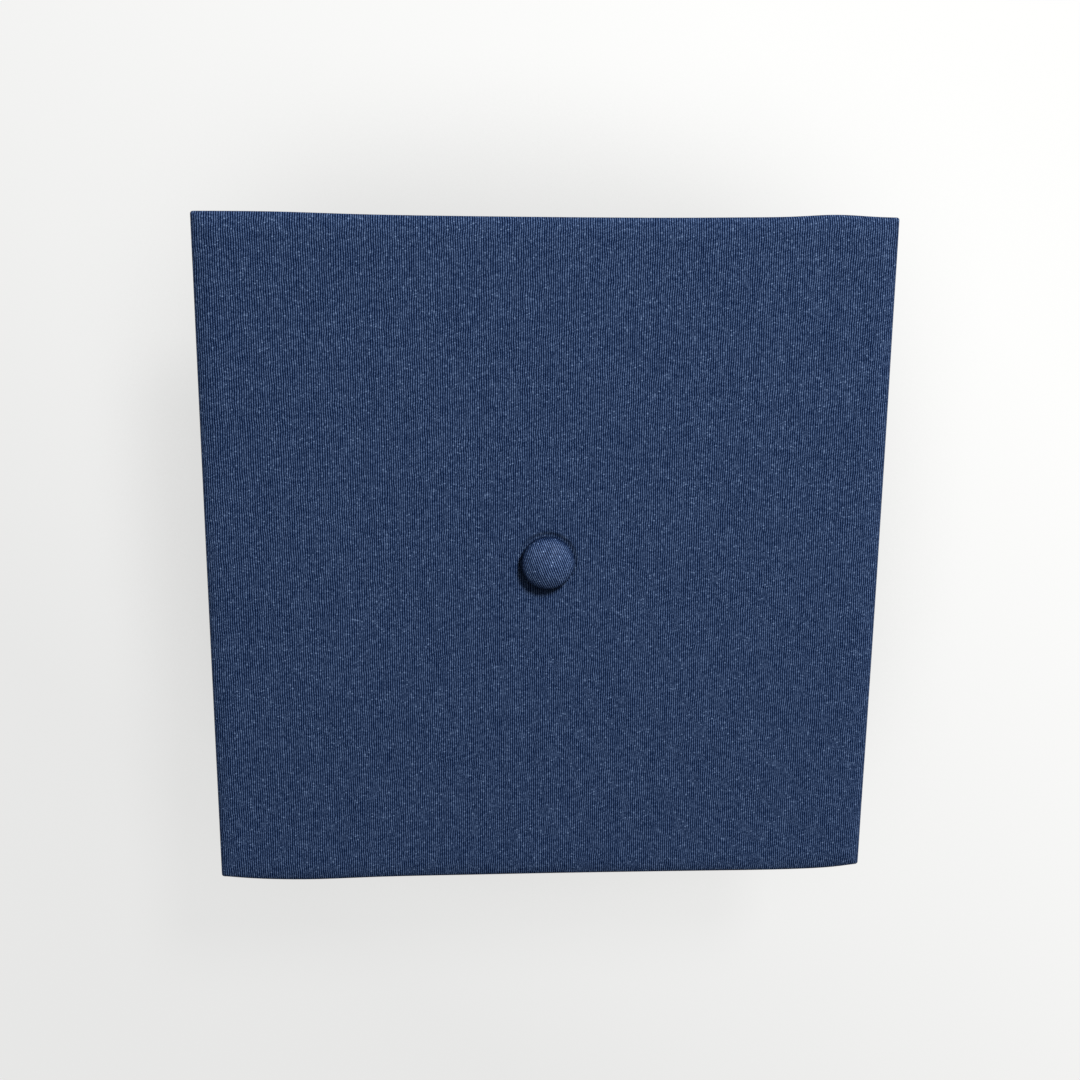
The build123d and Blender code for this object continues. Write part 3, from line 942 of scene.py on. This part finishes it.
def backOutside(angle, height, look):
    # how far outside the oval the gathered cloth's outer face stands: folds that fade upwards, pinched by
    # the channel's stitching, pulled in at the crown and tucked under the front panels at the side seams
    above = height - rimLine(angle)
    pinch = look["pinch"] * hump(above, look["stitchLine"], 1.1 * mm)
    fade = 1 - 0.93 * ease((above - look["channel"]) / (wallTop - look["channel"] - 4 * mm))
    fold = gathers(angle, height, look) * look["foldDepth"] * fade * (1 - pinch)
    fold = fold * ease(above / (5 * mm) + 0.45)
    crown = look["crown"] * hump(height, wallTop, 1.3 * mm)
    fromSeam = np.abs(wallPoints(angle, height, 0.0)[..., 1] - wall["seam"])
    return wall["outside"] + fold - crown - look["seamTuck"] * ease((4 * mm - fromSeam) / (3 * mm))


def makeBackPanel(look):
    # one cloth along a hook-shaped path: down the channel's inner leaf, round the rim, and up to the board
    rise, offset, depth = channelPath(0.0, wall["outside"], look["channel"], 22, 13)
    climb = np.concatenate([np.zeros(len(rise)), np.linspace(0, 1, 61)[1:]])[:, None]
    rise = np.concatenate([rise, np.full(60, depth)])[:, None] * (1 - climb) + wallTop * climb
    offset = np.concatenate([offset, np.full(60, wall["outside"])])[:, None]
    angle, height = wallGrid(look["columns"], backSpan, lambda rim: rim * (1 - climb) + rise)
    outerShare = offset / wall["outside"]
    inside = -look["innerDepth"] * gathers(angle, height, look) * ease((height - rimLine(angle)) / (4 * mm))
    outside = backOutside(angle, height, look) - wall["outside"]
    offset = offset + outside * outerShare + inside * (1 - outerShare)
    return wallPiece("backPanel", wallPoints(angle, height, offset), look["cloth"])


backCloth = makeBackPanel(back)
finish(backCloth, "back_band", wallCloth, ["back_panel"], stretchOver)


backInner = {
    "top": box("back_lining")[1][2], "bottom": 27.2 * mm, "face": 0.05 * mm, "cloth": 0.33 * mm,
    "foldDepth": 0.45 * mm, "fadeFrom": 30 * mm, "fadeOver": 40 * mm,
}


def makeBackLining(look):
    # the back wall from the crown down to just above the channel, following the gathers a little
    heights = np.linspace(look["top"], look["bottom"], 44)[:, None]
    angle, height = wallGrid(300, backSpan, lambda rim: heights + 0 * rim)
    fade = 1 - 0.8 * ease((height - look["fadeFrom"]) / look["fadeOver"])
    soft = gathers(angle, height, back) * look["foldDepth"] * fade
    return wallPiece("backLining", wallPoints(angle, height, look["face"] - soft), look["cloth"])


backInside = makeBackLining(backInner)
finish(backInside, "back_band", liningCloth, ["back_lining"], stretchOver)


elastic = {
    "bottom": 1.3 * mm, "top": 26 * mm, "face": 1.15 * mm, "cloth": 0.7 * mm, "rib": 2.3 * mm,
    "ribDepth": 0.05 * mm,
}


def makeElastic(look):
    # the back wall from just above the rim to a level edge, with fine ribs sin(2 pi z / rib)
    rise = np.linspace(look["bottom"], look["top"], 24)[:, None]
    angle, height = wallGrid(260, backSpan, lambda rim: rim + rise - rim * rise / look["top"])
    offset = look["face"] + look["ribDepth"] * np.sin(2 * math.pi * height / look["rib"])
    return wallPiece("elasticWebbing", wallPoints(angle, height, offset), look["cloth"])


webbing = makeElastic(elastic)
finish(webbing, "back_band", elasticWeb, ["elastic_band"], stretchOver)
print("back wall")

# ---- inside the crown: a lining tray, the size label and its stitches
trayLow, trayHigh = box("crown_lining")
labelLow, labelHigh = box("size_label")
tray = {
    "turn": 1.2 * mm, "cloth": 0.33 * mm, "pucker": 0.55 * mm, "puckers": 58, "sag": 0.5 * mm, "cells": 120,
    "reach": 1.1 * mm,
}


def makeCrownLining(look):
    # an oval tray, face down: flat, a rounded corner, and a short wall; small puckers run in from the corner
    share, right, up = discGrid(look["cells"])
    halfX, halfY = trayHigh[0] + look["reach"], trayHigh[1] + look["reach"]
    mean, depth = (halfX + halfY) / 2, trayHigh[2] - trayLow[2]
    turn = np.linspace(0, math.pi / 2, 10)
    radius = np.concatenate([[0], mean - look["turn"] * (1 - np.sin(turn)), [mean]])
    rise = np.concatenate([[0], look["turn"] * (1 - np.cos(turn)), [depth]])
    run = pathLengths(np.stack([radius, rise], -1))
    along = share * run[-1]
    reach = np.interp(along, run, radius) / mean
    angle = np.arctan2(up, right)
    pucker = 0.5 + 0.5 * np.cos(look["puckers"] * angle + 2 * np.sin(5 * angle))
    nearEdge = ease((share - 0.80) / 0.14) * ease((1.0 - share) / 0.05)
    sag = (0.5 + 0.5 * ripple(right * along, up * along, 61)) * (1 - share**2) * ease(share / 0.7)
    height = trayLow[2] + np.interp(along, run, rise) + look["pucker"] * pucker * nearEdge + look["sag"] * sag
    points = np.stack([halfX * reach * right, halfY * reach * up, height], -1)
    uv = np.stack([right * along, up * along], -1)
    return clothPiece("crownLining", points[::-1], look["cloth"], wholePatch(points[::-1], uv[::-1]))


crownInside = makeCrownLining(tray)
finish(crownInside, "cap", liningCloth, ["crown_lining"])


labelLook = {"curl": 0.35 * mm, "cloth": 0.22 * mm, "stitchIn": (1.6 * mm, 1 * mm)}


def makeLabel(look):
    # a small flat cloth, face down, whose ends curl away from the lining with the sixth power
    x, y = np.meshgrid(np.linspace(labelLow[0], labelHigh[0], 60), np.linspace(labelHigh[1], labelLow[1], 36))
    middle = (labelLow + labelHigh) / 2
    across, down = (x - middle[0]) / (labelHigh[0] - middle[0]), (y - middle[1]) / (labelHigh[1] - middle[1])
    height = labelLow[2] - look["curl"] * (np.abs(down) ** 6 * (1 - 0.5 * hump(np.abs(across), 0.9, 0.1)))
    points = np.stack([x, y, height], -1)
    return clothPiece("sizeLabel", points, look["cloth"], wholePatch(points, points[..., :2]))


label = makeLabel(labelLook)
finish(label, "cap", labelCloth, ["size_label"])
labelRows = []
inX, inY = labelLook["stitchIn"]
for side in (-1, 1):
    x = side * (labelHigh[0] - inX)
    row = np.array([[x, labelLow[1] + inY, labelLow[2]], [x, labelHigh[1] - inY, labelLow[2]]])
    labelRows.append((row, np.tile(-upward, (2, 1))))
fineStitch = {"pitch": 1.9 * mm, "length": 1.4 * mm, "width": 0.26 * mm, "arch": 0.08 * mm}
sewRows("labelStitches", labelRows, fineStitch)
print("crown")

# ---- the rows of stitches on the wall


def rowAt(angles, heightOf, offsetOf, facing=1):
    # a row round the wall at the height given for each angle, on the surface given by offsetOf
    height = heightOf(angles)
    return wallPoints(angles, height, offsetOf(angles, height)), facing * wallNormals(angles)


def aboveRim(rise):
    # the rim's line raised
    return lambda angle: rimLine(angle) + rise


def still(offset):
    # the same offset everywhere
    return lambda angle, height: np.full(angle.shape, offset)


def uprightRow(angle, low, high, offsetOf, facing=1):
    # a row up the wall at one angle
    heights = np.linspace(low, high, 60)
    angles = angle + 0 * heights
    return wallPoints(angles, heights, offsetOf(angles, heights)), facing * wallNormals(angles)


seamEnd = float(seamAngle(20 * mm, wall["seam"]))
frontAround = np.linspace(-seamEnd + 0.02, seamEnd - 0.02, 500)
sewRows("bindingStitches", [
    rowAt(frontAround, aboveRim(binding["stitchLine"]), still(binding["outer"] - 0.08 * mm)),
    rowAt(frontAround, aboveRim(binding["stitchLine"]), still(sweat["face"] - 0.02 * mm), -1),
], runStitch)
seamLow, seamTop = binding["height"] + 1 * mm, wallTop - 1.5 * mm
seamRows = []
for side in (-1, 1):
    besideCentre, besideEnd = side * 2.8 * mm / wall["rimHalf"][0], side * (seamEnd - 0.028)
    seamRows.append(uprightRow(besideCentre, seamLow, seamTop, frontOutside))
    seamRows.append(uprightRow(besideEnd, wall["rise"] + seamLow, seamTop, frontOutside))
sewRows("seamStitches", seamRows, runStitch)
behind = np.linspace(seamEnd + 0.03, 2 * math.pi - seamEnd - 0.03, 400)
sewRows("channelStitches", [
    rowAt(behind, aboveRim(back["stitchLine"]), lambda angle, height: backOutside(angle, height, back)),
    rowAt(behind, aboveRim(back["stitchLine"]), still(-0.05 * mm), -1),
], runStitch, "back_band", over=stretchOver)
whipStitch = {"pitch": 3.4 * mm, "length": 1.7 * mm, "width": 0.32 * mm, "arch": 0.10 * mm, "slant": 0.9}
crownRow = rowAt(frontAround, lambda angle: 0 * angle + wallTop - 0.9 * mm, frontOutside)
sewRows("crownStitches", [crownRow], whipStitch)
barTack = {
    "pitch": 0.62 * mm, "length": 2.6 * mm, "width": 0.40 * mm, "arch": 0.12 * mm,
    "slant": math.pi / 2 - 0.13,
}
tackLow, tackHigh = box("elastic_tacks")
tackAngle = math.acos(-(tackLow[1] + tackHigh[1]) / 2 / wallHalves(18 * mm, 0.0)[1])
sewRows("elasticTacks", [
    uprightRow(angle, tackLow[2], tackHigh[2], still(-0.10 * mm), -1)
    for angle in (tackAngle, 2 * math.pi - tackAngle)
], barTack, "back_band", ["elastic_tacks"], stretchOver)
print("stitches")

cameraLook = {
    "azimuth": 60.51, "elevation": 76.02, "distance": 0.46998,  # from the middle of the board
    "aim": (3.62 * mm, 7.50 * mm), "upAzimuth": 45.454, "lens": 43.85, "sensor": 36.0,
}


def makeCamera(look):
    # stands at the distance, azimuth and elevation from the board's middle and looks at aim, with the
    # direction upAzimuth upward
    level, turn = math.radians(look["elevation"]), math.radians(look["azimuth"])
    centre = np.array([0.0, 0.0, coverHigh[2]])
    outward = np.array([math.cos(level) * math.cos(turn), math.cos(level) * math.sin(turn), math.sin(level)])
    place = centre + look["distance"] * outward
    forward = unit(centre + np.array([*look["aim"], 0.0]) - place)
    hint = math.radians(look["upAzimuth"])
    right = unit(np.cross(forward, [math.cos(hint), math.sin(hint), 0.0]))
    up = np.cross(right, forward)
    data = bpy.data.cameras.new("cameraAbove")
    data.lens = look["lens"]
    data.sensor_width = look["sensor"]
    data.clip_start = 0.01
    camera = bpy.data.objects.new("cameraAbove", data)
    bpy.context.scene.collection.objects.link(camera)
    matrix = np.eye(4)
    matrix[:3, 0], matrix[:3, 1], matrix[:3, 2], matrix[:3, 3] = right, up, -forward, place
    camera.matrix_world = Matrix(matrix.tolist())
    bpy.context.scene.camera = camera


makeCamera(cameraLook)

studio = {
    "key": {"toUp": 1.08, "toRight": 0.55, "height": 1.30, "size": 0.42, "power": 34.9},
    "world": 0.19,
    "backdrop": 0.88,
    "floorHalf": 12.0,
    "floorGlow": ((0.755, 0.755, 0.748), (0.925, 0.925, 0.915)),  # towards -X and towards +X
    "floor": 0.06,
    "closeness": 0.100,  # how near a thing must be to shade the floor's glow, in metres
    "closeShade": 0.50,
}


def makeStudio(look):
    # one soft lamp, an even pale surrounding and a wide pale floor
    world = bpy.data.worlds.new("studio")
    bpy.context.scene.world = world
    world.use_nodes = True
    tree = world.node_tree
    light = tree.nodes["Background"]
    light.inputs["Color"].default_value = (1.0, 1.0, 1.0, 1.0)
    light.inputs["Strength"].default_value = look["world"]
    # what is seen past the floor is paler than the light that it gives
    seen = node(tree, "Background", {"Color": (1.0, 1.0, 0.995, 1.0), "Strength": look["backdrop"]})
    rays = node(tree, "LightPath").outputs["Is Camera Ray"]
    mixed = node(tree, "MixShader", {0: rays, 1: light.outputs[0], 2: seen.outputs[0]})
    tree.links.new(mixed.outputs[0], tree.nodes["World Output"].inputs["Surface"])
    key = look["key"]
    data = bpy.data.lights.new("key", "AREA")
    data.shape = "DISK"
    data.size = key["size"]
    data.energy = key["power"]
    lamp = bpy.data.objects.new("key", data)
    place = boardUp * key["toUp"] + boardRight * key["toRight"] + upward * key["height"]
    lamp.matrix_world = Vector(place).to_track_quat("Z", "Y").to_matrix().to_4x4()
    lamp.location = place
    lamp.visible_camera = False
    bpy.context.scene.collection.objects.link(lamp)
    half = look["floorHalf"]
    corners = np.array([[-half, -half, 0], [half, -half, 0], [half, half, 0], [-half, half, 0]], float)
    floor = makePiece("studioFloor", corners, np.array([[0, 1, 2, 3]]), corners[:, :2])
    # a pale sheet lit from within, with painted light making it a little brighter towards one side, that
    # takes only a faint shadow
    material, tree, shader = startMaterial("studioFloor", {"roughness": 1.0, "gloss": 0.0})
    shader.inputs["Base Color"].default_value = (look["floor"], look["floor"], look["floor"], 1.0)
    shader.inputs["Emission Strength"].default_value = 1.0
    east = parts(tree, node(tree, "TexCoord").outputs["Object"])["X"]
    shift = plus(tree, times(tree, east, 2.6), 0.5)
    low, high = look["floorGlow"]
    tree.links.new(ramp(tree, shift, [(0.0, low), (1.0, high)]), shader.inputs["Emission Color"])
    # painted shadow: what stands close over the floor dims its glow: 1 - closeShade (1 - openness)
    openness = node(tree, "AmbientOcclusion", {"Distance": look["closeness"]}, samples=8).outputs["AO"]
    shaded = times(tree, calc(tree, "SUBTRACT", 1.0, openness), look["closeShade"])
    glow = calc(tree, "MAXIMUM", calc(tree, "SUBTRACT", 1.0, shaded), 0.15)
    tree.links.new(glow, shader.inputs["Emission Strength"])
    floor.data.materials.append(material)
    floor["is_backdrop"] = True
    bpy.context.scene.view_settings.view_transform = "Standard"


makeStudio(studio)

sizes = {"cad": cadBox, "visual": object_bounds()}
sizes = {name: [list(map(float, corner)) for corner in box] for name, box in sizes.items()}
